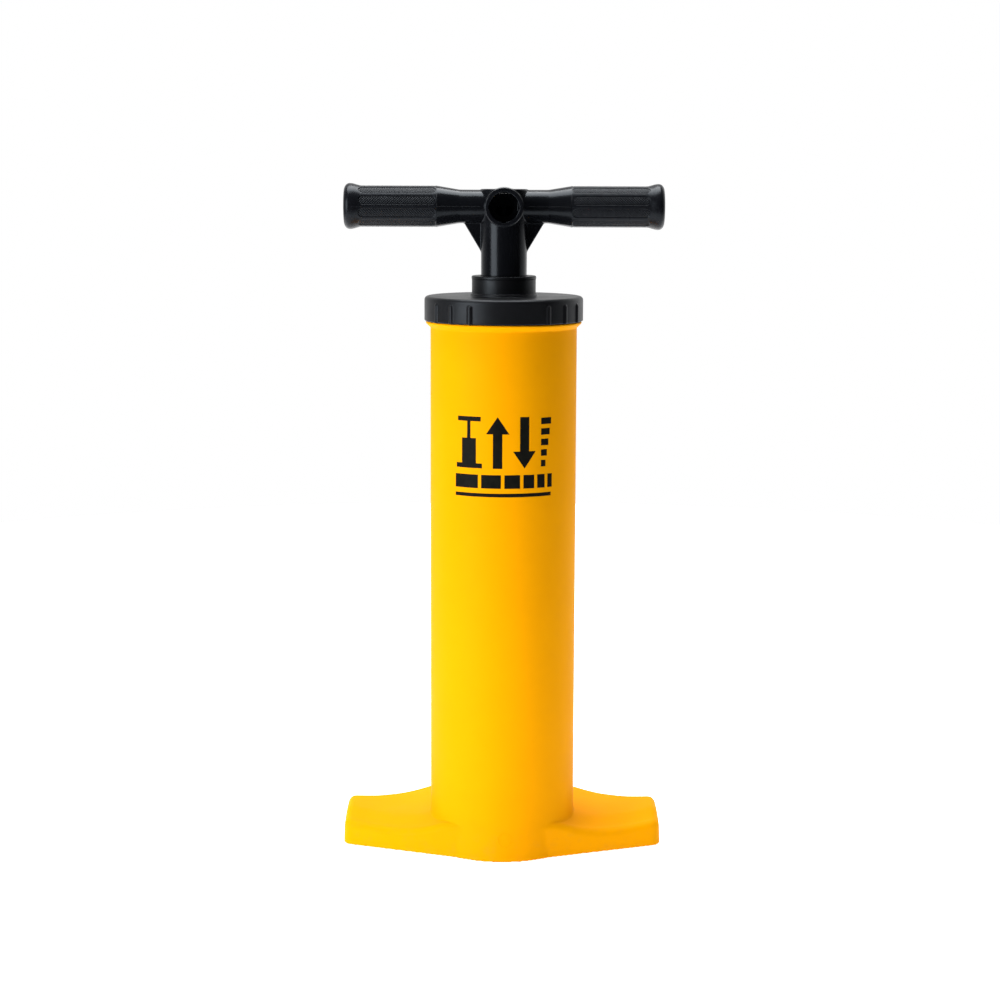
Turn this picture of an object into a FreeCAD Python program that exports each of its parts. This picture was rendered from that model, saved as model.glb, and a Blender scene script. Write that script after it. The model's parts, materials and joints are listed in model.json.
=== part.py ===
import FreeCAD, Part
import os
from math import cos, hypot, radians, sin, sqrt

# Double action hand pump. Millimetres. +Z up, origin on the barrel's axis at floor level.
# The handle spans X. The hose outlet looks along -Y and the air inlet along +Y.
# The handle is stored pushed right down.

# ---- driving dimensions -------------------------------------------------------------------
FIT = 0.05                # radial gap of pieces that are pressed or bonded together
PLAY = 0.3                # gap between pieces that move past each other
RUN = 0.1                 # radial clearance of the rod in its bush and seal
ROD_HOLE_PLAY = 1.0       # radial room round the rod where nothing guides it
PAST = 1.0                # a cutter runs this far past the face that it opens
WIDE = 200.0              # longer than any side of the pump, for cutters

BARREL_R = 52.0           # outside of the cylinder
BARREL_WALL = 3.0
RIM_Z = 393.5             # top of the cylinder, hidden in the cap
CYL_FLOOR_Z = 16.0        # floor of the cylinder
BEAD_R = 55.35            # bead under the cap
BEAD_Z = (376.9, 381.4)
BEAD_BEVEL = 3.0          # height of the slope under the bead
THREAD_R = 52.8           # crests of the barrel's thread ridges
THREAD_COUNT = 3
THREAD_PITCH = 3.2
THREAD_T = 1.2            # height of one ridge

FOOT_REAR_Y = 35.0        # centre of the foot's rear curve
FOOT_REAR_R = 54.5
FOOT_FRONT_R = 52.4       # front curve of the foot, inside the flare
FLARE_R = 54.5            # the cylinder flares to this at the floor
FLARE_Z = 30.0
FOOT_TIP_X = 115.5
FOOT_TIP_Y = (-10.5, 45.5)
FOOT_CORNER_R = 5.5
FOOT_TOP = [(0, 25.6), (44, 24.9), (60, 21.6), (78, 19.6), (92, 19.7), (108, 21.2), (118, 22.6)]
FOOT_EDGE_R = 4.0         # rounding of the foot's top edge
FOOT_SKIN = 3.0
RIB_T = 2.4
RIB_STEP = 33.0           # spacing of the ribs under the foot

CAP_R = 56.3
CAP_Z = (381.7, 399.0)
CAP_PLATE = 3.0
CAP_BORE_R = 53.6
CAP_THREAD_R = 53.2
CAP_EDGE_R = 2.7
GASKET_W = 4.0
COLLAR_R = 22.65
COLLAR_TOP_Z = 413.3
COLLAR_STEP_R = 23.6
COLLAR_STEP_H = 1.8
COLLAR_BORE_R = 16.9
BOSS_R = 21.0             # guide boss that hangs inside the cap
RIB_BAR_R = 2.1           # grip ribs on the cap
RIB_BAR_PROUD = 1.2
RIB_BAR_TOP_Z = 393.0
RIB_GROUP_TURN = 4.2      # degrees, turn of the four rib groups about the axis
RIB_BAR_STEP = 16.0       # degrees between the ribs of a group

STROKE = 300.0
PISTON_Z = (19.0, 55.0)
PISTON_R = 48.3
PISTON_INNER_R = 42.0
GROOVE_R = 45.2
GROOVE_Z = (32.5, 41.5)
SEAL_R = 48.7
SEAL_WAIST = 0.8          # how far the seal draws in between its lips
SEAL_LIP_T = 1.2
SEAL_NOTCH = 2.0
LOWER_PLATE_Z = (22.0, 24.5)
MID_PLATE_Z = (35.5, 38.0)
UPPER_PLATE_Z = (49.5, 52.0)
SOCKET_R = 20.0           # raised socket of the upper plate that holds the rod
SOCKET_BOTTOM_Z = 43.0
INNER_BOSS_R = 13.0
INNER_BOSS_Z = 30.5

ROD_R = 14.0
ROD_BORE_R = 12.5
ROD_Z = (43.0, 440.0)
INNER_R = 9.0
INNER_BORE_R = 7.5
INNER_Z = (30.5, 451.0)
ORING_R = 0.9             # section radius of the ring round the inner tube
ORING_SEAT_H = 2.4

VALVE_ORBIT = 30.0        # valves stand this far from the axis
VALVE_R = 8.5
VALVE_T = 1.0
VALVE_LIFT = 1.5
VALVE_ROOM = 2.0          # radial room round a valve disc in the socket's side
VALVE_SEAT_GAP = 0.1
VALVE_STEM_R = 1.5
VALVE_BULB_R = 2.4
VALVE_BULB_H = 1.6
VALVE_HOLE_R = 1.8
VALVE_HOLE_ORBIT = 5.4
DUCT_R = 8.0
DUCT_WALL = 1.4
INTAKE_UPPER_AT = 45      # degrees round the piston
OUTLET_UPPER_AT = 135
INTAKE_LOWER_AT = 225
OUTLET_LOWER_AT = 315

SCREW_ORBIT = 36.0
SCREW_R = 1.5
SCREW_LENGTH = 10.0
SCREW_HEAD_R = 3.0
SCREW_HEAD_H = 1.9
SCREW_BOSS_R = 4.0

BUSH_Z = (362.5, 386.0)
ROD_SEAL_Z = (386.0, 396.0)
RETAINER_Z = (396.0, 400.6)
LIP_GAP = 0.6             # half width of the groove between the rod seal's lips
LIP_DEPTH = 5.0
BUMPER_H = 4.0
FLOOR_BUMPER_R = (46.0, 40.0)

ARM_Z = 461.8
HUB_TOP_Z = 474.1
HUB_TOP_R = 16.5
HUB_END_Z = 405.5
HUB_END_R = 16.15
HUB_ROOF = 3.0
ARM_R = 11.75
GRIP_R = 14.5
GRIP_X = (47.3, 100.5)    # the plain grip, between the cone and the flared end
CONE_X = 30.3
FLANGE_R = 16.1
HANDLE_HALF = 112.6
END_R = 8.6
END_ROUND = 4.0
HUB_EDGE = 0.6            # bevel round the hub's top and the collar's top
ARM_BORE_R = 7.5
ARM_BORE_X = 34.0
PLUG_SEAT_R = 8.0
PLUG_SEAT_X = 105.0
PLUG_PROUD = 0.4
PAD_COUNT = 10
PAD_W = 6.8
PAD_X = (47.8, 102.2)
PAD_DEPTH = 0.6
PAD_CUTTER_T = 5.0
GUSSET_T = 5.0
GUSSET_X = 29.0
GUSSET_ROOT = 6.0         # how deep the gusset is sunk in the hub
GUSSET_LOW_Z = 429.3
PORT_R = 13.5
PORT_BORE_R = 10.25
PORT_FACE = 28.0          # distance of each port's face from the axis
PORT_CHAMFER = 0.7
NOTCH_W = 2.6
NOTCH_DEPTH = 0.9
NOTCH_LENGTH = 5.0
DIVIDER_Z = (444.0, 470.9)
DIVIDER_FACE_Y = 9.0      # flats that stand clear of the two port bores
DIVIDER_NECK_Y = 10.3     # rear flat beside the inner tube
DIVIDER_ROOF = 1.0        # height left above the rear flat
ELBOW_R = 7.0             # bore of the divider's turn to the front
ELBOW_BACK_Y = 5.0

# ---- helpers ------------------------------------------------------------------------------
UP = FreeCAD.Vector(0, 0, 1)
CENTRE = FreeCAD.Vector(0, 0, 0)


def vec(x, y, z):
    return FreeCAD.Vector(x, y, z)


def save(name, shape):
    solid = shape.removeSplitter()
    solid.exportStep("parts/" + name + ".step")


def spun(outline):
    """Solid of revolution about Z from (radius, height) corners."""
    corners = [vec(r, 0, z) for r, z in outline]
    face = Part.Face(Part.makePolygon(corners + corners[:1]))
    return face.revolve(CENTRE, UP, 360)


def cylinder(radius, z_range, x=0.0, y=0.0):
    low, high = z_range
    return Part.makeCylinder(radius, high - low, vec(x, y, low))


def ring(outer, inner, z_range):
    wide = (z_range[0] - PAST, z_range[1] + PAST)
    return cylinder(outer, z_range).cut(cylinder(inner, wide))


def polar(orbit, degrees):
    return orbit * cos(radians(degrees)), orbit * sin(radians(degrees))


def along(direction, radius, start, end, height):
    """Horizontal cylinder from start to end along a direction, at a height."""
    base = direction * start + UP * height
    return Part.makeCylinder(radius, end - start, base, direction)


# ---- barrel and foot ----------------------------------------------------------------------
def tangent_normal(here, there):
    """Outward normal of the line that touches two circles, going anticlockwise."""
    (x1, y1, r1), (x2, y2, r2) = here, there
    span = hypot(x2 - x1, y2 - y1)
    ux, uy = (x2 - x1) / span, (y2 - y1) / span
    lean = (r1 - r2) / span
    side = sqrt(1 - lean * lean)
    return lean * ux + side * uy, lean * uy - side * ux


def belt(circles):
    """Closed wire that runs round a ring of circles like a belt."""
    count = len(circles)
    normals = [tangent_normal(circles[i], circles[(i + 1) % count]) for i in range(count)]
    edges = []
    for i, (x, y, r) in enumerate(circles):
        entering, leaving = normals[i - 1], normals[i]
        mx, my = entering[0] + leaving[0], entering[1] + leaving[1]
        size = hypot(mx, my)
        first = vec(x + r * entering[0], y + r * entering[1], 0)
        middle = vec(x + r * mx / size, y + r * my / size, 0)
        last = vec(x + r * leaving[0], y + r * leaving[1], 0)
        nx, ny, nr = circles[(i + 1) % count]
        following = vec(nx + nr * leaving[0], ny + nr * leaving[1], 0)
        edges.append(Part.Arc(first, middle, last).toShape())
        edges.append(Part.LineSegment(last, following).toShape())
    return Part.Wire(edges)


def foot_block(inset, top_drop):
    """The foot's outside, shrunk by an inset, under its saddle-shaped top."""
    corner = FOOT_CORNER_R
    right = FOOT_TIP_X - corner
    low, high = FOOT_TIP_Y[0] + corner, FOOT_TIP_Y[1] - corner
    small = max(corner - inset, 1.0)
    tip = right + corner - inset - small
    near, far = low - corner + inset + small, high + corner - inset - small
    circles = [(0, 0, FOOT_FRONT_R - inset), (tip, near, small), (tip, far, small),
               (0, FOOT_REAR_Y, FOOT_REAR_R - inset), (-tip, far, small), (-tip, near, small)]
    tall = Part.Face(belt(circles)).extrude(UP * FOOT_TOP[0][1] * 2)
    return tall.common(under_saddle(top_drop))


def under_saddle(drop):
    """Everything below the foot's top surface, lowered by a drop."""
    half = [vec(x, -WIDE, z - drop) for x, z in FOOT_TOP]
    mirrored = [vec(-p.x, p.y, p.z) for p in reversed(half[1:])]
    curve = Part.BSplineCurve()
    curve.interpolate(mirrored + half)
    left, right = mirrored[0], half[-1]
    floor_left, floor_right = vec(left.x, left.y, 0), vec(right.x, right.y, 0)
    edges = [curve.toShape(), Part.LineSegment(right, floor_right).toShape(),
             Part.LineSegment(floor_right, floor_left).toShape(),
             Part.LineSegment(floor_left, left).toShape()]
    return Part.Face(Part.Wire(edges)).extrude(vec(0, 2 * WIDE, 0))


def underside_ribs():
    """Grid of upright ribs that stiffens the hollow foot."""
    ribs = []
    for i in range(-3, 4):
        x = i * RIB_STEP
        ribs.append(Part.makeBox(RIB_T, 2 * WIDE, FLARE_Z, vec(x - RIB_T / 2, -WIDE, 0)))
    for i in range(-1, 3):
        y = FOOT_REAR_Y / 2 + (i - 0.5) * RIB_STEP
        ribs.append(Part.makeBox(2 * WIDE, RIB_T, FLARE_Z, vec(-WIDE, y - RIB_T / 2, 0)))
    return ribs[0].multiFuse(ribs[1:])


def top_edges(block):
    """Edges where the foot's side walls meet its saddle top: all that keep off the floor."""
    return [edge for edge in block.Edges if edge.BoundBox.ZMin > FOOT_TOP[0][1] / 2]


def barrel():
    block = foot_block(0.0, 0.0)
    block = block.makeFillet(FOOT_EDGE_R, top_edges(block))
    inner = BARREL_R - BARREL_WALL
    bead_low, bead_high = BEAD_Z
    outside = [(0, 0), (FLARE_R, 0), (BARREL_R, FLARE_Z), (BARREL_R, bead_low),
               (BEAD_R, bead_low + BEAD_BEVEL), (BEAD_R, bead_high),
               (BARREL_R, bead_high), (BARREL_R, RIM_Z), (0, RIM_Z)]
    body = block.fuse(spun(outside))
    for i in range(THREAD_COUNT):
        low = bead_high + 2.0 + i * THREAD_PITCH
        ridge = ring(THREAD_R, inner + PAST, (low, low + THREAD_T))
        body = body.fuse(ridge)
    hollow = foot_block(FOOT_SKIN, FOOT_SKIN).cut(cylinder(BARREL_R, (-PAST, FLARE_Z)))
    centre = cylinder(inner, (0, CYL_FLOOR_Z - FOOT_SKIN))
    pockets = hollow.fuse(centre).cut(underside_ribs())
    bore = cylinder(inner, (CYL_FLOOR_Z, RIM_Z + PAST))
    return body.cut(pockets).cut(bore)


def floor_bumper():
    return ring(*FLOOR_BUMPER_R, (CYL_FLOOR_Z, PISTON_Z[0] - PLAY))


# ---- cap ----------------------------------------------------------------------------------
def grip_rib(degrees):
    x, y = polar(CAP_R + RIB_BAR_PROUD - RIB_BAR_R, degrees)
    bar = cylinder(RIB_BAR_R, (CAP_Z[0], RIB_BAR_TOP_Z), x, y)
    return bar.fuse(Part.makeSphere(RIB_BAR_R, vec(x, y, RIB_BAR_TOP_Z)))


def cap():
    low, high = CAP_Z
    plate_z = high - CAP_PLATE
    boss_z = top_bumper_z()[1]
    outside = [(0, low), (CAP_R, low), (CAP_R, high), (0, high)]
    body = spun(outside)
    rim = [e for e in body.Edges if abs(e.BoundBox.ZMin - high) < 0.01]
    body = body.makeFillet(CAP_EDGE_R, rim)
    for group in range(4):
        for place in (-1, 0, 1):
            middle = -90 + RIB_GROUP_TURN + 45 + 90 * group
            body = body.fuse(grip_rib(middle + place * RIB_BAR_STEP))
    body = body.cut(cylinder(CAP_BORE_R, (low - PAST, plate_z)))
    for i in range(THREAD_COUNT - 1):
        ridge_z = BEAD_Z[1] + (i + 1) * THREAD_PITCH + 0.4
        body = body.fuse(ring(CAP_BORE_R + 0.5, CAP_THREAD_R, (ridge_z, ridge_z + THREAD_T)))
    collar = spun([(0, boss_z), (BOSS_R, boss_z), (BOSS_R, plate_z), (COLLAR_STEP_R, plate_z),
                   (COLLAR_STEP_R, high + COLLAR_STEP_H), (COLLAR_R, high + COLLAR_STEP_H + 0.8),
                   (COLLAR_R, COLLAR_TOP_Z - HUB_EDGE), (COLLAR_R - HUB_EDGE, COLLAR_TOP_Z),
                   (0, COLLAR_TOP_Z)])
    body = body.fuse(collar)
    body = body.cut(cylinder(COLLAR_BORE_R, (BUSH_Z[0], COLLAR_TOP_Z + PAST)))
    return body.cut(cylinder(ROD_R + ROD_HOLE_PLAY, (boss_z - PAST, high)))


def top_bumper_z():
    low = PISTON_Z[1] + STROKE + PLAY
    return low, low + BUMPER_H


def top_bumper():
    return ring(SOCKET_R, ROD_R + ROD_HOLE_PLAY, top_bumper_z())


def cap_gasket():
    z_range = (RIM_Z + PLAY, CAP_Z[1] - CAP_PLATE - PLAY)
    return ring(BARREL_R, BARREL_R - GASKET_W, z_range)


def rod_guide_bush():
    return ring(COLLAR_BORE_R - FIT, ROD_R + RUN, BUSH_Z)


def rod_seal():
    """Lip seal: a ring with a V-groove in its top face."""
    low, high = ROD_SEAL_Z
    inner, outer = ROD_R + RUN, COLLAR_BORE_R - FIT
    middle = (inner + outer) / 2
    return spun([(inner, low), (outer, low), (outer, high), (middle + LIP_GAP, high),
                 (middle, high - LIP_DEPTH), (middle - LIP_GAP, high), (inner, high)])


def seal_retainer():
    return ring(COLLAR_BORE_R - FIT, ROD_R + PLAY, RETAINER_Z)


# ---- piston -------------------------------------------------------------------------------
def valve_openings(degrees, z_range):
    """Stem hole and ring of air holes under one valve."""
    x, y = polar(VALVE_ORBIT, degrees)
    wide = (z_range[0] - PAST, z_range[1] + PAST)
    holes = [cylinder(VALVE_STEM_R + PLAY, wide, x, y)]
    for i in range(6):
        dx, dy = polar(VALVE_HOLE_ORBIT, 60 * i)
        holes.append(cylinder(VALVE_HOLE_R, wide, x + dx, y + dy))
    return holes


def valve(degrees, seat, opens_up):
    """Mushroom valve: a disc on the seat, a stem through the plate and a stop bulb."""
    low, high = seat
    thickness = high - low
    x, y = polar(VALVE_ORBIT, degrees)
    disc = cylinder(VALVE_R, (VALVE_SEAT_GAP, VALVE_SEAT_GAP + VALVE_T))
    bulb_top = -thickness - VALVE_LIFT - VALVE_SEAT_GAP
    stem = cylinder(VALVE_STEM_R, (bulb_top, VALVE_SEAT_GAP))
    bulb = cylinder(VALVE_BULB_R, (bulb_top - VALVE_BULB_H, bulb_top))
    shape = disc.fuse(stem).fuse(bulb)
    if opens_up:
        shape.translate(vec(x, y, high))
        return shape
    flipped = shape.rotated(CENTRE, vec(1, 0, 0), 180)
    flipped.translate(vec(x, y, low))
    return flipped


def cut_all(shape, tools):
    for tool in tools:
        shape = shape.cut(tool)
    return shape


def duct(degrees, z_range):
    """Upright pipe that carries air past one gallery: its wall and its bore."""
    x, y = polar(VALVE_ORBIT, degrees)
    wall = cylinder(DUCT_R + DUCT_WALL, z_range, x, y)
    bore = cylinder(DUCT_R, (z_range[0] - 5, z_range[1] + 5), x, y)
    return wall, bore


def piston_body():
    mid_low, mid_high = MID_PLATE_Z
    lower_gallery = (LOWER_PLATE_Z[1], mid_low)
    upper_gallery = (mid_high, UPPER_PLATE_Z[0])
    body = ring(PISTON_R, PISTON_INNER_R, PISTON_Z)
    body = body.cut(ring(PISTON_R + PAST, GROOVE_R, GROOVE_Z))
    body = body.fuse(cylinder(PISTON_INNER_R + PAST, MID_PLATE_Z))
    body = body.fuse(cylinder(INNER_BOSS_R, (INNER_BOSS_Z, mid_high)))
    for i in range(4):
        x, y = polar(SCREW_ORBIT, 90 * i)
        body = body.fuse(cylinder(SCREW_BOSS_R, (LOWER_PLATE_Z[1], UPPER_PLATE_Z[0]), x, y))
        for z_range in ((LOWER_PLATE_Z[0], LOWER_PLATE_Z[0] + SCREW_LENGTH),
                        (UPPER_PLATE_Z[1] - SCREW_LENGTH, UPPER_PLATE_Z[1])):
            body = body.cut(cylinder(SCREW_R + FIT, z_range, x, y))
    wall, bore = duct(OUTLET_UPPER_AT, upper_gallery)
    body = body.fuse(wall).cut(bore.common(cylinder(PISTON_R, (mid_high, PISTON_Z[1]))))
    body = cut_all(body, valve_openings(OUTLET_UPPER_AT, MID_PLATE_Z))
    wall, bore = duct(INTAKE_LOWER_AT, lower_gallery)
    body = body.fuse(wall).cut(bore.common(cylinder(PISTON_R, (PISTON_Z[0], mid_high))))
    body = body.cut(cylinder(INNER_R + FIT, (0, mid_high + PAST)))
    return body.cut(cylinder(INNER_R + 2 * ORING_R, oring_seat()))


def plate(z_range):
    """Plate that closes one end of the piston, with its screw holes."""
    body = cylinder(PISTON_INNER_R - FIT, z_range)
    for i in range(4):
        x, y = polar(SCREW_ORBIT, 90 * i)
        body = body.cut(cylinder(SCREW_R + FIT, z_range, x, y))
    return body


def upper_plate():
    body = plate(UPPER_PLATE_Z)
    body = body.fuse(cylinder(SOCKET_R, (SOCKET_BOTTOM_Z, PISTON_Z[1])))
    body = cut_all(body, valve_openings(INTAKE_UPPER_AT, UPPER_PLATE_Z))
    x, y = polar(VALVE_ORBIT, OUTLET_UPPER_AT)
    body = body.cut(cylinder(DUCT_R, (SOCKET_BOTTOM_Z - PAST, PISTON_Z[1] + PAST), x, y))
    for degrees in (INTAKE_UPPER_AT, OUTLET_UPPER_AT, INTAKE_LOWER_AT, OUTLET_LOWER_AT):
        x, y = polar(VALVE_ORBIT, degrees)
        body = body.cut(cylinder(VALVE_R + VALVE_ROOM, (UPPER_PLATE_Z[1], PISTON_Z[1] + PAST), x, y))
        body = body.cut(cylinder(DUCT_R + DUCT_WALL + PLAY, (0, UPPER_PLATE_Z[0]), x, y))
    return body.cut(cylinder(ROD_R + FIT, (SOCKET_BOTTOM_Z - PAST, PISTON_Z[1] + PAST)))


def lower_plate():
    body = plate(LOWER_PLATE_Z)
    body = cut_all(body, valve_openings(INTAKE_LOWER_AT, LOWER_PLATE_Z))
    return cut_all(body, valve_openings(OUTLET_LOWER_AT, LOWER_PLATE_Z))


def plate_screws():
    """Eight identical screws, four through each plate."""
    screws = []
    for i in range(4):
        x, y = polar(SCREW_ORBIT, 90 * i)
        top, bottom = UPPER_PLATE_Z[1], LOWER_PLATE_Z[0]
        head = cylinder(SCREW_HEAD_R, (top, top + SCREW_HEAD_H), x, y)
        screws.append(head.fuse(cylinder(SCREW_R, (top - SCREW_LENGTH + 1, top), x, y)))
        head = cylinder(SCREW_HEAD_R, (bottom - SCREW_HEAD_H, bottom), x, y)
        screws.append(head.fuse(cylinder(SCREW_R, (bottom, bottom + SCREW_LENGTH - 1), x, y)))
    return Part.makeCompound(screws)


def piston_seal():
    """Double-lipped ring that wipes the cylinder on both strokes."""
    low, high = GROOVE_Z[0] + PLAY, GROOVE_Z[1] - PLAY
    inner = GROOVE_R + PLAY
    notch = (inner + SEAL_R) / 2
    middle = (low + high) / 2
    return spun([(inner, low), (notch, low + SEAL_NOTCH), (SEAL_R, low), (SEAL_R, low + SEAL_LIP_T),
                 (SEAL_R - SEAL_WAIST, middle), (SEAL_R, high - SEAL_LIP_T), (SEAL_R, high),
                 (notch, high - SEAL_NOTCH), (inner, high)])


# ---- rod ----------------------------------------------------------------------------------
def outer_tube():
    return ring(ROD_R, ROD_BORE_R, ROD_Z)


def inner_tube():
    return ring(INNER_R, INNER_BORE_R, INNER_Z)


def oring_z():
    return (INNER_BOSS_Z + MID_PLATE_Z[1]) / 2


def oring_seat():
    return oring_z() - ORING_SEAT_H / 2, oring_z() + ORING_SEAT_H / 2


def inner_tube_oring():
    return Part.makeTorus(INNER_R + ORING_R + FIT / 2, ORING_R - FIT, vec(0, 0, oring_z()))


def port_divider():
    """Plug in the hub: an elbow to the front port, with an open channel behind it."""
    low, high = DIVIDER_Z
    step = INNER_Z[1] + PLAY
    body = cylinder(ROD_R - FIT, DIVIDER_Z)
    channel_h = high - low - DIVIDER_ROOF + PAST
    corner = vec(-WIDE, DIVIDER_NECK_Y, low - PAST)
    body = body.cut(Part.makeBox(2 * WIDE, WIDE, channel_h, corner))
    for y in (DIVIDER_FACE_Y, -DIVIDER_FACE_Y - WIDE):
        body = body.cut(Part.makeBox(2 * WIDE, WIDE, high - step + PAST, vec(-WIDE, y, step)))
    body = body.cut(cylinder(INNER_R + FIT, (low - PAST, INNER_Z[1])))
    body = body.cut(cylinder(INNER_BORE_R, (low, ARM_Z)))
    return body.cut(along(vec(0, -1, 0), ELBOW_R, -ELBOW_BACK_Y, ROD_R + PAST, ARM_Z))


# ---- handle -------------------------------------------------------------------------------
def arm(side):
    """One arm with its grip and flared end, turned about the X axis."""
    def at(x, r):
        return vec(side * x, 0, ARM_Z + r)

    flare_start = at(GRIP_X[1], GRIP_R)
    flare_middle = at(GRIP_X[1] + 4.5, GRIP_R + 0.5)
    flare_end = at(HANDLE_HALF - END_ROUND, FLANGE_R)
    corner = at(HANDLE_HALF - END_ROUND * 0.24, FLANGE_R - END_ROUND * 0.55)
    rim = at(HANDLE_HALF, END_R)
    edges = [Part.LineSegment(at(0, 0), at(0, ARM_R)).toShape(),
             Part.LineSegment(at(0, ARM_R), at(CONE_X, ARM_R)).toShape(),
             Part.LineSegment(at(CONE_X, ARM_R), at(GRIP_X[0], GRIP_R)).toShape(),
             Part.LineSegment(at(GRIP_X[0], GRIP_R), flare_start).toShape(),
             Part.Arc(flare_start, flare_middle, flare_end).toShape(),
             Part.Arc(flare_end, corner, rim).toShape(),
             Part.LineSegment(rim, at(HANDLE_HALF, 0)).toShape(),
             Part.LineSegment(at(HANDLE_HALF, 0), at(0, 0)).toShape()]
    profile = Part.Face(Part.Wire(edges))
    return profile.revolve(vec(0, 0, ARM_Z), vec(1, 0, 0), 360)


def grip_pad(side, degrees):
    """Cutter for one shallow pad with round ends, along the grip."""
    length = PAD_X[1] - PAD_X[0] - PAD_W
    core_r = GRIP_R - PAD_DEPTH
    low = GRIP_R - PAD_CUTTER_T / 2
    start = PAD_X[0] + PAD_W / 2
    bar = Part.makeBox(length, PAD_W, PAD_CUTTER_T, vec(start, -PAD_W / 2, low))
    for x in (start, start + length):
        bar = bar.fuse(Part.makeCylinder(PAD_W / 2, PAD_CUTTER_T, vec(x, 0, low)))
    bar = bar.cut(Part.makeCylinder(core_r, HANDLE_HALF, CENTRE, vec(1, 0, 0)))
    bar.rotate(CENTRE, vec(1, 0, 0), degrees)
    bar.translate(vec(0, 0, ARM_Z))
    if side < 0:
        bar = bar.mirror(CENTRE, vec(1, 0, 0))
    return bar


def gusset(side):
    root_x = HUB_END_R - GUSSET_ROOT
    arm_low = ARM_Z - ARM_R
    corners = [(root_x, arm_low + 4), (GUSSET_X, arm_low + 1.5), (GUSSET_X, arm_low - 0.2),
               (HUB_END_R - 0.5, GUSSET_LOW_Z), (root_x, GUSSET_LOW_Z)]
    points = [vec(side * x, -GUSSET_T / 2, z) for x, z in corners]
    face = Part.Face(Part.makePolygon(points + points[:1]))
    return face.extrude(vec(0, GUSSET_T, 0))


def port_stub(direction):
    stub = along(direction, PORT_R, 0, PORT_FACE, ARM_Z)
    rim = [e for e in stub.Edges if e.BoundBox.YLength < 0.01
           and abs(e.BoundBox.Center.dot(direction) - PORT_FACE) < 0.01]
    return stub.makeFillet(PORT_CHAMFER, rim)


def port_bore(direction):
    """Bore of one port with its bevelled mouth and four bayonet notches."""
    bore = along(direction, PORT_BORE_R, DIVIDER_FACE_Y, PORT_FACE + PAST, ARM_Z)
    bevel = Part.makeCone(PORT_BORE_R, PORT_BORE_R + PORT_CHAMFER, PORT_CHAMFER,
                          direction * (PORT_FACE - PORT_CHAMFER) + UP * ARM_Z, direction)
    bore = bore.fuse(bevel)
    reach = PORT_BORE_R + NOTCH_DEPTH
    centre = direction * (PORT_FACE - NOTCH_LENGTH / 2) + UP * ARM_Z
    for wide, tall in ((2 * reach, NOTCH_W), (NOTCH_W, 2 * reach)):
        corner = centre - vec(wide / 2, NOTCH_LENGTH / 2, tall / 2)
        bore = bore.fuse(Part.makeBox(wide, NOTCH_LENGTH, tall, corner))
    return bore


def handle():
    hub = spun([(0, HUB_END_Z), (HUB_END_R, HUB_END_Z), (HUB_TOP_R, HUB_TOP_Z - HUB_EDGE),
                (HUB_TOP_R - HUB_EDGE, HUB_TOP_Z), (0, HUB_TOP_Z)])
    pieces = [arm(1), arm(-1), gusset(1), gusset(-1)]
    front, back = vec(0, -1, 0), vec(0, 1, 0)
    pieces += [port_stub(front), port_stub(back)]
    body = hub.multiFuse(pieces)
    for side in (-1, 1):
        outward = vec(side, 0, 0)
        body = body.cut(along(outward, ARM_BORE_R, ARM_BORE_X, HANDLE_HALF + PAST, ARM_Z))
        body = body.cut(along(outward, PLUG_SEAT_R, PLUG_SEAT_X, HANDLE_HALF + PAST, ARM_Z))
        for i in range(PAD_COUNT):
            body = body.cut(grip_pad(side, i * 360 / PAD_COUNT))
    body = body.cut(cylinder(ROD_R, (HUB_END_Z - PAST, HUB_TOP_Z - HUB_ROOF)))
    return body.cut(port_bore(front)).cut(port_bore(back))


def end_plug(side):
    outward = vec(side, 0, 0)
    plug = along(outward, PLUG_SEAT_R - FIT, PLUG_SEAT_X, HANDLE_HALF + PLUG_PROUD, ARM_Z)
    rim = [e for e in plug.Edges if abs(abs(e.BoundBox.Center.x) - HANDLE_HALF - PLUG_PROUD) < 0.01]
    return plug.makeFillet(PLUG_PROUD, rim)


# ---- write the parts ----------------------------------------------------------------------
def main():
    os.makedirs("parts", exist_ok=True)
    save("barrel", barrel())
    save("floor_bumper", floor_bumper())
    save("cap", cap())
    save("cap_gasket", cap_gasket())
    save("top_bumper", top_bumper())
    save("rod_guide_bush", rod_guide_bush())
    save("rod_seal", rod_seal())
    save("seal_retainer", seal_retainer())
    save("piston_body", piston_body())
    save("upper_plate", upper_plate())
    save("lower_plate", lower_plate())
    save("plate_screws", plate_screws())
    save("piston_seal", piston_seal())
    save("intake_valve_upper", valve(INTAKE_UPPER_AT, UPPER_PLATE_Z, True))
    save("outlet_valve_upper", valve(OUTLET_UPPER_AT, MID_PLATE_Z, False))
    save("intake_valve_lower", valve(INTAKE_LOWER_AT, LOWER_PLATE_Z, False))
    save("outlet_valve_lower", valve(OUTLET_LOWER_AT, LOWER_PLATE_Z, True))
    save("outer_tube", outer_tube())
    save("inner_tube", inner_tube())
    save("inner_tube_oring", inner_tube_oring())
    save("port_divider", port_divider())
    save("handle", handle())
    save("end_plug_right", end_plug(1))
    save("end_plug_left", end_plug(-1))


main()
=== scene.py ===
import json
import math

import bmesh
import bpy
import numpy as np
from mathutils import Matrix, Vector


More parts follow.
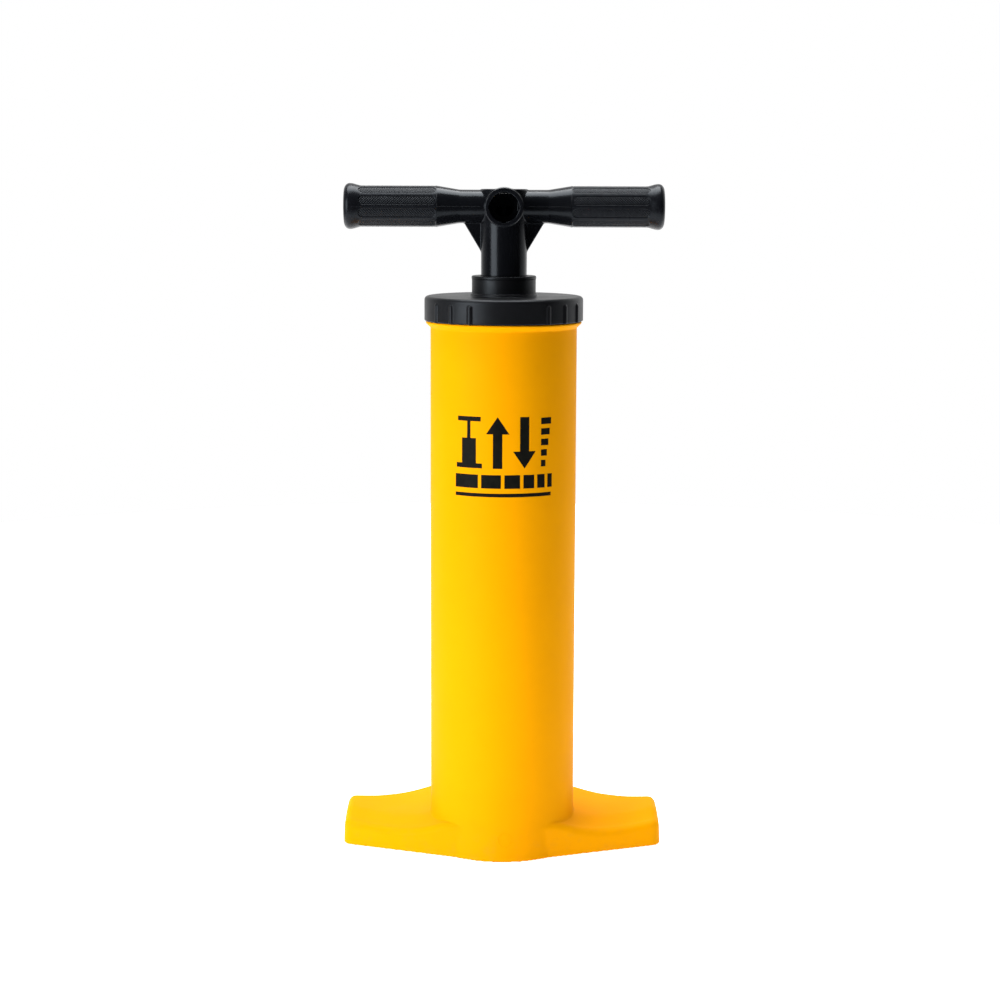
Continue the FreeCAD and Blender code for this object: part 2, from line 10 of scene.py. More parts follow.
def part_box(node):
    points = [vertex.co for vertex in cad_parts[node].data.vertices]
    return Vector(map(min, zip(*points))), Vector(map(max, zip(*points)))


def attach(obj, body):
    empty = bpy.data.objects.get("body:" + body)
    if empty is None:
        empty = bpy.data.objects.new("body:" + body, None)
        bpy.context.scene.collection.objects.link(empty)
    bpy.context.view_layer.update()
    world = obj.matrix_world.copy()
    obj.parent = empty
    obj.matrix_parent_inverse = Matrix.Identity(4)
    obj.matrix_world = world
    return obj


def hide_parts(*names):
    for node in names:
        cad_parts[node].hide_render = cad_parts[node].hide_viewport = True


# Double action hand pump: looks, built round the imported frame.
# Shapes are worked out in millimetres and turned into metres when a mesh is made.
# The moulded pieces are distance fields: skin() turns the zero surface of a field into a mesh.

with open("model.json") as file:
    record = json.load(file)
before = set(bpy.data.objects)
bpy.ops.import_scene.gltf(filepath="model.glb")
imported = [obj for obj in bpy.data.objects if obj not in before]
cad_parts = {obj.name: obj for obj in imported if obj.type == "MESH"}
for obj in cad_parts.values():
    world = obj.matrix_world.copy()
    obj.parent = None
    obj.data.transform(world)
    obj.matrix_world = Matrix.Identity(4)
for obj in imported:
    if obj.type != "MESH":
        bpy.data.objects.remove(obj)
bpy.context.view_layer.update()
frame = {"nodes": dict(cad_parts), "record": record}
MM = 0.001


# ---- places and sizes read from the frame ------------------------------------------------
def box_mm(node):
    low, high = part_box(node)
    return [v / MM for v in low], [v / MM for v in high]


def mount_mm(name):
    for mount in frame["record"]["mounts"]:
        if mount["name"] == name:
            return [v / MM for v in mount["pos_m"]]
    raise ValueError(name)


barrel_low, barrel_high = box_mm("barrel")
cap_low, cap_high = box_mm("cap")
gasket_high = box_mm("cap_gasket")[1]
handle_low, handle_high = box_mm("handle")
rod_high = box_mm("outer_tube")[1]

ARM_Z = mount_mm("outlet_port")[2]
PORT_FACE = -handle_low[1]
HUB_END_Z = handle_low[2]
HANDLE_HALF = handle_high[0]
RIM_Z = barrel_high[2]
BARREL_R = gasket_high[0]
COLLAR_TOP_Z = cap_high[2]
BOSS_END_Z = cap_low[2]
CAP_R = 56.3
CAP_BOTTOM_Z = 381.7
CAP_TOP_Z = 399.0
FOOT_TIP_X = barrel_high[0]
FOOT_REAR = barrel_high[1]


# ---- distance fields ----------------------------------------------------------------------
R_SHARP = 0.3             # roundings of moulded edges, from sharp to soft
R_FINE = 0.5
R_MOULD = 0.6
R_SOFT = 0.8
R_FULL = 0.9
BEYOND = 50.0             # how far a shape runs on past the place where another ends it
SLOPE_STEP = 0.02         # half step over which a field's slope is taken
SETTLE_STEPS = 4          # times that mesh points are moved on to the surface
LEAST_SLOPE = 0.2         # squared; keeps a point still where a field is flat


def smooth_union(a, b, blend):
    mix = np.clip(0.5 + 0.5 * (b - a) / blend, 0, 1)
    return b * (1 - mix) + a * mix - blend * mix * (1 - mix)


def smooth_cut(a, b, blend):
    """a without b, with the new edge softened."""
    return -smooth_union(-a, b, blend)


def rounded_meet(a, b, radius):
    """Common part of two fields whose shared edge is rounded."""
    ra, rb = a + radius, b + radius
    outer = np.hypot(np.maximum(ra, 0), np.maximum(rb, 0))
    return outer + np.minimum(np.maximum(ra, rb), 0) - radius


def slab(values, low, high):
    return np.maximum(low - values, values - high)


def disc(rho, height, radius, low, high, rounding):
    """Upright cylinder with rounded edges."""
    return rounded_meet(rho - radius, slab(height, low, high), rounding)


def step_up(value, start, end):
    """0 before start, 1 after end, smooth between."""
    t = np.clip((value - start) / (end - start), 0, 1)
    return t * t * t * (t * (6 * t - 15) + 10)


def ramp(value, start, end, soft):
    """0 before start, 1 after end, straight between, with softened corners."""
    from_start, from_end = value - start, value - end
    rise = from_start + np.sqrt(from_start ** 2 + soft ** 2)
    level = from_end + np.sqrt(from_end ** 2 + soft ** 2)
    return 0.5 * (rise - level) / (end - start)


def gradient(field, points):
    slope = np.empty_like(points)
    for axis in range(3):
        nudge = np.zeros(3)
        nudge[axis] = SLOPE_STEP
        slope[:, axis] = (field(points + nudge) - field(points - nudge)) / (2 * SLOPE_STEP)
    return slope


def lines(*spans):
    """Grid lines from (start, end, spacing) spans that follow each other."""
    parts = []
    for start, end, spacing in spans:
        count = max(1, round((end - start) / spacing))
        parts.append(np.linspace(start, end, count, endpoint=False))
    parts.append([spans[-1][1]])
    return np.concatenate(parts)


def skin(name, field, xs, ys, zs):
    """Quad mesh of a field's zero surface, on a grid of x, y and z lines in millimetres."""
    axes = (xs, ys, zs)
    value = field(np.stack(np.meshgrid(xs, ys, zs, indexing="ij"), -1))
    cell_shape = np.array(value.shape) - 1
    total = np.zeros((int(np.prod(cell_shape)), 3))
    hits = np.zeros(len(total), int)
    quads = []
    for axis in range(3):
        first = np.take(value, range(value.shape[axis] - 1), axis)
        second = np.take(value, range(1, value.shape[axis]), axis)
        spots = np.argwhere((first < 0) != (second < 0))
        start = first[tuple(spots.T)]
        end = second[tuple(spots.T)]
        where = np.stack([axes[i][spots[:, i]] for i in range(3)], -1)
        along = axes[axis][spots[:, axis] + 1] - where[:, axis]
        where[:, axis] += along * start / (start - end)
        side, other = (axis + 1) % 3, (axis + 2) % 3
        ring = []
        for ds, do in ((-1, -1), (0, -1), (0, 0), (-1, 0)):
            cell = spots.copy()
            cell[:, side] += ds
            cell[:, other] += do
            flat = np.ravel_multi_index(cell.T, cell_shape, mode="clip")
            np.add.at(total, flat, where)
            np.add.at(hits, flat, 1)
            ring.append(flat)
        ring = np.stack(ring, -1)
        ring[start > 0] = ring[start > 0][:, ::-1]
        quads.append(ring)
    used = np.flatnonzero(hits)
    order = np.full(len(total), -1)
    order[used] = np.arange(len(used))
    points = total[used] / hits[used][:, None]
    for _ in range(SETTLE_STEPS):
        slope = gradient(field, points)
        size = np.maximum((slope ** 2).sum(-1), LEAST_SLOPE)
        points -= slope * (field(points) / size)[:, None]
    normals = gradient(field, points)
    normals /= np.maximum(np.linalg.norm(normals, axis=-1), 1e-6)[:, None]
    piece = smooth_piece(name, points, order[np.concatenate(quads)].tolist())
    piece.data.normals_split_custom_set_from_vertices(normals.tolist())
    return piece


def linked(name, data):
    """New object in the scene for a mesh, a light or a camera."""
    piece = bpy.data.objects.new(name, data)
    bpy.context.collection.objects.link(piece)
    return piece


def smooth_piece(name, points, faces):
    """Smooth-shaded mesh object from millimetre points."""
    mesh = bpy.data.meshes.new(name)
    mesh.from_pydata((points * MM).tolist(), [], faces)
    mesh.validate()
    mesh.shade_smooth()
    return linked(name, mesh)


def wrapped(name, rings, loop=False):
    """Mesh from rings of points, each joined to the next: a loop, or a tube with closed ends."""
    count, around = rings.shape[:2]
    points = rings.reshape(-1, 3)
    i, j = np.meshgrid(np.arange(count if loop else count - 1), np.arange(around), indexing="ij")
    ni, nj = (i + 1) % count, (j + 1) % around
    faces = np.stack([i * around + j, i * around + nj, ni * around + nj,
                      ni * around + j], -1).reshape(-1, 4).tolist()
    if not loop:
        faces.append(list(range(around))[::-1])
        faces.append([(count - 1) * around + k for k in range(around)])
    return smooth_piece(name, points, faces)


def round_turn(count):
    """Angles of one full turn."""
    return np.arange(count) * 2 * math.pi / count


# ---- barrel and foot ----------------------------------------------------------------------
BARREL_WALL = 3.0
CYL_FLOOR_Z = 16.0
BEAD_R = 55.35
BEAD_Z = (376.9, 381.4)
BEAD_BEVEL = 3.0
BEAD_UNDER_R = 0.7
THREAD_R = 52.8
THREAD_COUNT = 3
THREAD_START = 2.0        # from the bead's top to the lowest ridge
THREAD_PITCH = 3.2
THREAD_T = 1.2
THREAD_EDGE_R = 0.4
FLARE = 2.5               # how far the cylinder flares at the floor
FLARE_Z = 28.0
FLARE_SOFT = 3.0
FOOT_CREASE = 0.6         # fillet where the cylinder meets the foot
FOOT_FRONT_R = 52.4
FOOT_REAR_R = 54.5
FOOT_CORNER_R = 6.0
FOOT_TIP_Y = (-10.5, 45.5)
FOOT_TIP_INSET = 1.5      # the skirts aim at a point this far inside the tip
FOOT_TIP_SPREAD = 0.5
FOOT_SIDE_R = 2.0
FOOT_EDGE_R = 5.0
FOOT_SOLE_R = 0.7
FOOT_INSIDE_R = 2.0
FOOT_MIDDLE_Z = 26.2      # height of the foot's top at the middle
FOOT_DROOP = 4.0          # how far the wings' top falls towards the front edge
FOOT_SKIN = 3.0
FOOT_DRAFT = 0.035
RIB_T = 2.4
RIB_STEP = 33.0
RIBS_ACROSS = (-3, 3)
RIBS_ALONG = (-1, 2)
INSIDE_R = 1.0            # rounding inside the cylinder
BARREL_GRID = 1.5         # spacing of the barrel's mesh


def belt_side(x, y, radius, tip_y):
    """Distance to a straight skirt that leaves a circle and runs to the foot's tip."""
    tip_x = FOOT_TIP_X - FOOT_TIP_INSET
    reach = math.hypot(tip_x, tip_y)
    angle = math.acos(radius / reach) + math.atan2(tip_y, tip_x)
    nx, ny = math.cos(angle), math.sin(angle)
    on_line = nx * x + ny * y - radius
    past = nx * y - ny * x
    return np.where(past > 0, np.hypot(x, y) - radius, on_line)


def foot_front(p):
    x, forward = np.abs(p[..., 0]), -p[..., 1]
    return belt_side(x, forward, FOOT_FRONT_R, -FOOT_TIP_Y[0] + FOOT_TIP_SPREAD)


def foot_outline(p):
    x, y = np.abs(p[..., 0]), p[..., 1]
    rear_y = FOOT_REAR - FOOT_REAR_R
    rear = belt_side(x, y - rear_y, FOOT_REAR_R, FOOT_TIP_Y[1] - rear_y + FOOT_TIP_SPREAD)
    side = rounded_meet(foot_front(p), rear, FOOT_SIDE_R)
    return rounded_meet(side, x - FOOT_TIP_X, FOOT_CORNER_R)


def foot_top(p):
    """Height of the foot's saddle-shaped top, lower in the wings and at their front edge."""
    x = np.abs(p[..., 0])
    crown = 1.2 * step_up(x, 0, 60)
    saddle = 5.4 * step_up(x, 30, 84)
    tip_rise = 2.9 * step_up(x, 84, 124)
    droop = FOOT_DROOP * step_up(x, 28, 62) * (1 - step_up(-foot_front(p), 0, 30))
    return FOOT_MIDDLE_Z - crown - saddle + tip_rise - droop


def rib_field(p):
    """Grid of ribs under the foot."""
    x, y = p[..., 0], p[..., 1]
    across = np.abs(x - RIB_STEP * np.clip(np.round(x / RIB_STEP), *RIBS_ACROSS))
    shift = (FOOT_REAR - FOOT_REAR_R) / 2 - RIB_STEP / 2
    place = np.clip(np.round((y - shift) / RIB_STEP), *RIBS_ALONG)
    lengthwise = np.abs(y - shift - RIB_STEP * place)
    return np.minimum(across, lengthwise) - RIB_T / 2


def flare(z):
    """How far the cylinder's outside stands out at a height, near the floor."""
    rise = FLARE_Z - np.asarray(z)
    return FLARE / FLARE_Z * 0.5 * (rise + np.sqrt(rise ** 2 + FLARE_SOFT ** 2))


def bead_field(rho, z):
    """Bead under the cap, with a slope on its underside."""
    reach = BEAD_R - BARREL_R
    slope = math.hypot(reach, BEAD_BEVEL)
    under = ((rho - BEAD_R) * BEAD_BEVEL - (z - BEAD_Z[0] - BEAD_BEVEL) * reach) / slope
    ring = disc(rho, z, BEAD_R, BEAD_Z[0] - 2, BEAD_Z[1], R_FULL)
    return rounded_meet(ring, under, BEAD_UNDER_R)


def cylinder_field(rho, z):
    """Outside of the cylinder, with its flare, bead and thread ridges."""
    tube = rounded_meet(rho - BARREL_R - flare(z), slab(z, 0, RIM_Z), R_FINE)
    body = smooth_union(tube, bead_field(rho, z), R_SHARP)
    for turn in range(THREAD_COUNT):
        low = BEAD_Z[1] + THREAD_START + turn * THREAD_PITCH
        body = np.minimum(body, disc(rho, z, THREAD_R, low, low + THREAD_T, THREAD_EDGE_R))
    return body


def barrel_field(p):
    z = p[..., 2]
    rho = np.hypot(p[..., 0], p[..., 1])
    outline = foot_outline(p) + FOOT_DRAFT * z
    below_top = z - foot_top(p)
    foot = rounded_meet(outline, below_top, FOOT_EDGE_R)
    foot = rounded_meet(foot, -z, FOOT_SOLE_R)
    body = smooth_union(cylinder_field(rho, z), foot, FOOT_CREASE)
    body = np.maximum(body, -z)
    hollow = rounded_meet(outline + FOOT_SKIN, below_top + FOOT_SKIN, FOOT_INSIDE_R)
    hollow = np.maximum(hollow, BARREL_R - rho)
    inner = BARREL_R - BARREL_WALL
    middle = disc(rho, z, inner, -BEYOND, CYL_FLOOR_Z - FOOT_SKIN, INSIDE_R)
    pockets = np.maximum(np.minimum(hollow, middle), -rib_field(p))
    body = np.maximum(body, -pockets)
    return np.maximum(body, -disc(rho, z, inner, CYL_FLOOR_Z, RIM_Z + BEYOND, INSIDE_R))


def make_barrel():
    # Fine along the foot, coarse along the plain cylinder, finest at the bead and threads.
    margin, foot_end, plain_end = 2.1, 34, 372
    xs = lines((-FOOT_TIP_X - margin, FOOT_TIP_X + margin, BARREL_GRID))
    ys = lines((barrel_low[1] - margin, FOOT_REAR + margin, BARREL_GRID))
    zs = lines((-1.3, foot_end, 1.25), (foot_end, plain_end, 13.0), (plain_end, RIM_Z + 1.5, 0.9))
    piece = skin("barrel_shell", barrel_field, xs, ys, zs)
    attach(piece, "barrel")
    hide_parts("barrel")
    return piece


# ---- cap ----------------------------------------------------------------------------------
CAP_PLATE = 3.0
CAP_BORE_R = 53.6
CAP_EDGE_R = 2.7          # rounding of the top's edge
COLLAR_R = 22.65
COLLAR_LIP = 0.25         # how far the lip round the collar's top stands out
COLLAR_LIP_H = 2.6
COLLAR_STEP_R = 23.6
COLLAR_STEP_H = 1.8
COLLAR_ROOT_Z = CAP_TOP_Z - 2
COLLAR_BORE_R = 16.9
BOSS_R = 21.0
BOSS_FLOOR = 3.2
BOSS_HOLE_R = 15.0
RIB_BAR_R = 2.1
RIB_BAR_PROUD = 1.2
RIB_BAR_TOP_Z = 393.0
RIB_BAR_STEP = 16.0       # degrees from one bar to the next in a group of three
RIB_GROUP_STEP = 90       # degrees from one group to the next
RIB_GROUP_TURN = 4.2      # degrees that the groups stand off the diagonals
DEEP = -1e3               # field value far inside a body
CAP_GRID = 0.71           # spacing of the cap's mesh


def rib_bars(rho, z, angle):
    """Upright bars on the cap's side, in groups of three; the angle is in degrees."""
    half = RIB_GROUP_STEP / 2
    offset = (angle + half - RIB_GROUP_TURN + half) % RIB_GROUP_STEP - half
    place = np.clip(np.round(offset / RIB_BAR_STEP), -1, 1) * RIB_BAR_STEP
    away = np.radians(offset - place)
    centre = CAP_R + RIB_BAR_PROUD - RIB_BAR_R
    flat = np.hypot(rho * np.cos(away) - centre, rho * np.sin(away))
    bar = np.hypot(flat, np.maximum(z - RIB_BAR_TOP_Z, 0)) - RIB_BAR_R
    return rounded_meet(bar, CAP_BOTTOM_Z - z, R_FINE)


def collar_field(rho, z):
    """Collar round the rod, with its lip and step, and the boss under the plate."""
    column = disc(rho, z, COLLAR_R, BOSS_END_Z, COLLAR_TOP_Z, R_FULL)
    lip_z = COLLAR_TOP_Z - COLLAR_LIP_H
    lip = disc(rho, z, COLLAR_R + COLLAR_LIP, lip_z, COLLAR_TOP_Z, R_SOFT)
    step = disc(rho, z, COLLAR_STEP_R, COLLAR_ROOT_Z, CAP_TOP_Z + COLLAR_STEP_H, R_SOFT)
    outside = np.minimum(np.minimum(column, lip), step)
    return np.maximum(outside, np.where(z < COLLAR_ROOT_Z, rho - BOSS_R, DEEP))


def cap_field(p):
    x, y, z = p[..., 0], p[..., 1], p[..., 2]
    rho = np.hypot(x, y)
    body = disc(rho, z, CAP_R, CAP_BOTTOM_Z - BEYOND, CAP_TOP_Z, CAP_EDGE_R)
    body = rounded_meet(body, CAP_BOTTOM_Z - z, R_MOULD)
    body = smooth_union(body, rib_bars(rho, z, np.degrees(np.arctan2(y, x))), R_MOULD)
    inside = disc(rho, z, CAP_BORE_R, CAP_BOTTOM_Z - BEYOND, CAP_TOP_Z - CAP_PLATE, R_SOFT)
    body = smooth_union(np.maximum(body, -inside), collar_field(rho, z), R_FULL)
    bore_z = (BOSS_END_Z + BOSS_FLOOR, COLLAR_TOP_Z + BEYOND)
    bore = disc(rho, z, COLLAR_BORE_R, *bore_z, R_SHARP)
    body = smooth_cut(body, bore, R_SOFT)
    return np.maximum(body, BOSS_HOLE_R - rho)


def make_cap():
    flat = lines((-CAP_R - 3, CAP_R + 3, CAP_GRID))
    skirt_z = CAP_BOTTOM_Z - 1    # the boss below this is hidden, so its grid is coarser
    zs = lines((BOSS_END_Z - 1, skirt_z, 1.6), (skirt_z, COLLAR_TOP_Z + 1.2, 0.6))
    piece = skin("cap_shell", cap_field, flat, flat, zs)
    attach(piece, "cap")
    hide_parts("cap")
    return piece


# ---- handle -------------------------------------------------------------------------------
HUB_TOP_Z = 474.1
HUB_TOP_R = 16.5
HUB_END_R = 16.15
HUB_ROOF = 3.0
ARM_R = 11.75
GRIP_R = 14.5
GRIP_X = (47.3, 100.5)
GRIP_PLAIN = 0.6          # plain part before the pads; the arm runs this far into the grip
ARM_END_R = 0.1
CONE_X = 31.3
CONE_SOFT = 0.8
CONE_SHY = 0.06           # how far the arm's end stays under the grip's skin
FLANGE_R = 16.1
END_ROUND = 4.0
END_FACE_R = 11.4
END_DISH = ((0.985, 0.02), (0.93, 0.1), (0.86, 0.5), (0.80, 1.4))   # share of radius, depth
SOCKET_R = rod_high[0]
GUSSET_T = 5.0
GUSSET_X = 28.5
GUSSET_LOW_Z = 429.3
GUSSET_THIN = 0.62        # share of the thickness that is left at the low tip
GUSSET_IN_ARM = 0.6       # how far the web is sunk in the arm and in the neck
GUSSET_IN_NECK = 0.4
PORT_R = 13.5
PORT_BORE_R = 10.25
PORT_BORE_SUNK = 3        # how far the bore runs on past the socket's wall
NOTCH_W = 2.6
NOTCH_DEPTH = 0.9
NOTCH_LENGTH = 5.0
PAD_COUNT = 10
PAD_W = 6.8
PAD_X = (47.9, 102.4)
PAD_DEPTH = 0.55
PAD_RIM = (-0.45, 0.1)    # from the pad's outline: where its sunk edge falls
KNURL_RIM = (-0.9, -0.4)  # and where the points rise inside it
KNURL_PITCH = 1.8
KNURL_DEPTH = 0.55
KNURLS_AROUND = 5         # points from one pad to the next
GRIP_SEAM_H = 0.14
GRIP_SEAM_HALF = 0.4
GRIP_AROUND = 400         # mesh points round a grip
HUB_GRID = 0.56           # spacing of the hub's mesh


def gusset_field(x, y, z):
    """Thin web between the arm's underside and the neck, thinner towards its low tip."""
    top = (GUSSET_X, ARM_Z - ARM_R + GUSSET_IN_ARM)
    tip = (HUB_END_R - GUSSET_IN_NECK, GUSSET_LOW_Z)
    run, rise = top[0] - tip[0], top[1] - tip[1]
    length = math.hypot(run, rise)
    slant = ((x - tip[0]) * rise - (z - tip[1]) * run) / length
    share = np.clip((z - tip[1]) / rise, 0, 1)
    thick = np.abs(y) - GUSSET_T / 2 * (GUSSET_THIN + (1 - GUSSET_THIN) * share)
    web = rounded_meet(slant, thick, R_FULL)
    return np.maximum(web, slab(z, GUSSET_LOW_Z - 1, ARM_Z))


def arm_radius(x):
    """Radius of the arm and of the cone that leads to the grip."""
    return ARM_R + (GRIP_R - CONE_SHY - ARM_R) * ramp(x, CONE_X, GRIP_X[0], CONE_SOFT)


def hub_field(p):
    x, y, z = np.abs(p[..., 0]), p[..., 1], p[..., 2]
    rho = np.hypot(x, y)
    taper = (HUB_TOP_R - HUB_END_R) * (z - HUB_TOP_Z) / (HUB_TOP_Z - HUB_END_Z)
    hub = rounded_meet(rho - HUB_TOP_R - taper, slab(z, HUB_END_Z, HUB_TOP_Z), R_SOFT)
    lift = z - ARM_Z
    around = np.hypot(y, lift)
    arm = rounded_meet(around - arm_radius(x), x - GRIP_X[0] - GRIP_PLAIN, ARM_END_R)
    port = np.hypot(x, lift)
    stub = rounded_meet(port - PORT_R, np.abs(y) - PORT_FACE, R_FULL)
    body = smooth_union(hub, arm, R_FULL)
    body = smooth_union(body, stub, R_SOFT)
    body = smooth_union(body, gusset_field(x, y, z), R_SOFT)
    bore = np.maximum(port - PORT_BORE_R, SOCKET_R - PORT_BORE_SUNK - np.abs(y))
    body = smooth_cut(body, bore, R_FULL)
    for wide, tall in ((x, np.abs(lift)), (np.abs(lift), x)):
        notch = np.maximum(wide - PORT_BORE_R - NOTCH_DEPTH, tall - NOTCH_W / 2)
        body = np.maximum(body, -np.maximum(notch, PORT_FACE - NOTCH_LENGTH - np.abs(y)))
    socket = disc(rho, z, SOCKET_R, HUB_END_Z - BEYOND, HUB_TOP_Z - HUB_ROOF, R_SHARP)
    return smooth_cut(body, socket, R_FINE)


def make_hub():
    xs = lines((-GRIP_X[0] - 1, GRIP_X[0] + 1, HUB_GRID))
    ys = lines((-PORT_FACE - 1, PORT_FACE + 1, HUB_GRID))
    zs = lines((HUB_END_Z - 1, ARM_Z + PORT_R + 1.2, HUB_GRID))
    piece = skin("handle_hub", hub_field, xs, ys, zs)
    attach(piece, "handle_rod")
    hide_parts("handle")
    return piece


def grip_radius(x):
    """Radius of the plain grip at distances x from the middle."""
    swell = (FLANGE_R - GRIP_R) * step_up(x, GRIP_X[1] - 1, HANDLE_HALF - END_ROUND + 0.6)
    radius = GRIP_R + swell
    into_end = np.clip((x - HANDLE_HALF + END_ROUND) / END_ROUND, 0, 1)
    return radius - (FLANGE_R - END_FACE_R) * (1 - np.sqrt(1 - into_end ** 2))


def knurl(u, v):
    """Diamond pattern of small points, from 0 to 1."""
    a = np.abs(((u + v) / KNURL_PITCH) % 1 - 0.5) * 2
    b = np.abs(((u - v) / KNURL_PITCH) % 1 - 0.5) * 2
    return np.minimum(a, b)


def arm_ring(side, x, radius, turn):
    """Ring of points round the arm's axis, at a distance x from the middle."""
    across = np.broadcast_to(side * x, np.shape(turn))
    return np.stack([across, -radius * np.cos(turn), ARM_Z + radius * np.sin(turn)], -1)


def grip_lines():
    """Distances from the middle at which a grip has mesh rings; finest along the pads."""
    pads_start = GRIP_X[0] + GRIP_PLAIN
    round_start = HANDLE_HALF - END_ROUND
    return np.concatenate([
        np.linspace(GRIP_X[0], pads_start, 5, endpoint=False),
        np.arange(pads_start, PAD_X[1] + 0.7, KNURL_PITCH / 6),
        np.linspace(PAD_X[1] + 0.9, round_start, 12, endpoint=False),
        round_start + END_ROUND * np.sin(np.linspace(0, math.pi / 2, 18))])


def pad_relief(x, angle):
    """Height of the grip's knurled pads over its plain surface, mostly below 0."""
    sector = 2 * math.pi / PAD_COUNT
    from_pad = angle % sector - sector / 2
    middle = (PAD_X[0] + PAD_X[1]) / 2
    straight = (PAD_X[1] - PAD_X[0] - PAD_W) / 2
    past = np.maximum(np.abs(x - middle) - straight, 0)
    edge = np.hypot(from_pad * GRIP_R, past) - PAD_W / 2
    sunk = 1 - step_up(edge, *PAD_RIM)
    knurled = 1 - step_up(edge, *KNURL_RIM)
    around = from_pad / sector * KNURLS_AROUND * KNURL_PITCH
    points = knurl(around, x - GRIP_X[0] - GRIP_PLAIN)
    return KNURL_DEPTH * knurled * points - PAD_DEPTH * sunk


def grip_seam(x, angle):
    """Height of the parting lines along the grip's front and back."""
    turns = (0, math.pi, 2 * math.pi)
    away = np.min([np.abs(angle - turn) for turn in turns], axis=0) * GRIP_R
    return GRIP_SEAM_H * np.clip(1 - away / GRIP_SEAM_HALF, 0, 1) * (x < HANDLE_HALF - END_ROUND)


def make_grip(side):
    turn = round_turn(GRIP_AROUND)
    x, angle = np.meshgrid(grip_lines(), turn, indexing="ij")
    radius = grip_radius(x) + pad_relief(x, angle) + grip_seam(x, angle)
    rings = arm_ring(side, x, radius, angle)
    end_r = radius[-1].mean()
    dish = [arm_ring(side, HANDLE_HALF - depth, end_r * share, turn) for share, depth in END_DISH]
    # The first ring comes twice, so that the edge of the inner end stays sharp.
    rings = np.concatenate([rings[:1], rings, np.stack(dish)])
    if side > 0:
        rings = rings[:, ::-1]
    piece = wrapped("grip_right" if side > 0 else "grip_left", rings)
    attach(piece, "handle_rod")
    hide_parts("handle")
    return piece


# ---- small pieces -------------------------------------------------------------------------
def make_end_plug(side):
    """Disc that closes the hollow arm: a shallow dome with a ring round it.

    The profile runs from the back's middle round the rim to the middle of the face;
    each point has its distance from the pump's middle and its radius.
    """
    low, high = box_mm("end_plug_right")
    face, back = high[0], low[0]
    radius = (high[2] - low[2]) / 2
    profile = [(back, 0.6), (back, radius - 0.4), (back + 0.5, radius), (face - 0.5, radius),
               (face - 0.15, radius - 0.3), (face - 0.1, radius - 0.9),
               (face - 0.45, radius - 1.4), (face - 0.5, radius - 2.2),
               (face - 0.2, radius - 2.8), (face - 0.05, 3.0), (face, 0.6)]
    turn = round_turn(96)
    rings = np.stack([arm_ring(side, x, r, turn) for x, r in profile])
    if side > 0:
        rings = rings[:, ::-1]
    node = "end_plug_right" if side > 0 else "end_plug_left"
    piece = wrapped(node + "_disc", rings)
    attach(piece, "handle_rod")
    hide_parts(node)
    return piece


def thread(name, path, radius, loop=False):
    """Hair-thin bead along a path of millimetre points, half sunk in the surface."""
    path = np.array(path)
    along = np.roll(path, -1, 0) - np.roll(path, 1, 0) if loop else np.gradient(path, axis=0)
    along /= np.linalg.norm(along, axis=-1)[:, None]
    up = np.cross(along, (0, 1, 0))
    up /= np.linalg.norm(up, axis=-1)[:, None]
    out = np.cross(up, along)
    turn = round_turn(10)
    rings = path[:, None] + radius * (np.cos(turn)[:, None] * up[:, None]
                                      + np.sin(turn)[:, None] * out[:, None])
    return wrapped(name, rings, loop)


def make_seams():
    """Mould parting lines along the front and the back of both arms."""
    seam_r = 0.16
    seams = []
    for side, side_name in ((-1, "left"), (1, "right")):
        for face, face_name in ((-1, "front"), (1, "back")):
            xs = np.linspace(PORT_R + 2.5, GRIP_X[0] - 0.3, 40)
            path = [(side * x, face * float(arm_radius(x)), ARM_Z) for x in xs]
            seam = thread("arm_seam_" + side_name + "_" + face_name, path, seam_r)
            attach(seam, "handle_rod")
            seams.append(seam)
    return seams


def make_gate_mark():
    """Round mark that the mould's injection point leaves low on the front."""
    radius, middle, height, bead_r = 4.8, 2.0, 16.0, 0.2
    path = []
    for turn in round_turn(48):
        x, z = middle + radius * math.sin(turn), height + radius * math.cos(turn)
        path.append((x, -math.sqrt((BARREL_R + float(flare(z))) ** 2 - x * x), z))
    mark = thread("gate_mark", path, bead_r, loop=True)
    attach(mark, "barrel")
    return mark


# ---- printed mark on the barrel -----------------------------------------------------------
PRINT_MIDDLE_Z = 286.0    # heights in the mark are counted from here
PRINT_HALF_W = 36
PRINT_STRIP = 1.5         # width of the strips that follow the cylinder's curve
PRINT_PROUD = 0.06
PRINT_DEPTH = 0.25
SIGN_Z = (-4, 32)         # the picture of a pump and the arrows stand between these
ARROW_SIZES = (3.3, 8.2, 12)   # half shaft, half head, length of the head
STAIR_COUNT = 5           # bars on the right that get shorter from top to bottom
STAIR_DROP = 7.4
STAIR_SHORTER = 1.2
BLOCK_WIDTHS = (18, 14, 11, 8, 6, 4)   # plain blocks in place of lettering
BLOCK_GAP = 2.4


def rectangle(left, right, low, high):
    return [(left, low), (right, low), (right, high), (left, high)]


def arrow(middle, tail, tip, half_shaft, half_head, head):
    """Upright arrow outline; a tip below the tail points it down."""
    way = 1 if tip > tail else -1
    neck = tip - way * head
    return [(middle - half_shaft, tail), (middle + half_shaft, tail), (middle + half_shaft, neck),
            (middle + half_head, neck), (middle, tip), (middle - half_head, neck),
            (middle - half_shaft, neck)]


def pump_sign(middle, low, high):
    """Outlines of a small plain picture of a pump: foot, cylinder, rod and handle."""
    return [rectangle(middle - 10, middle + 10, low, low + 3.4),
            rectangle(middle - 5.5, middle + 5.5, low + 3.4, low + 21),
            rectangle(middle - 1.3, middle + 1.3, low + 21, high - 3.2),
            rectangle(middle - 9, middle + 9, high - 3.2, high)]


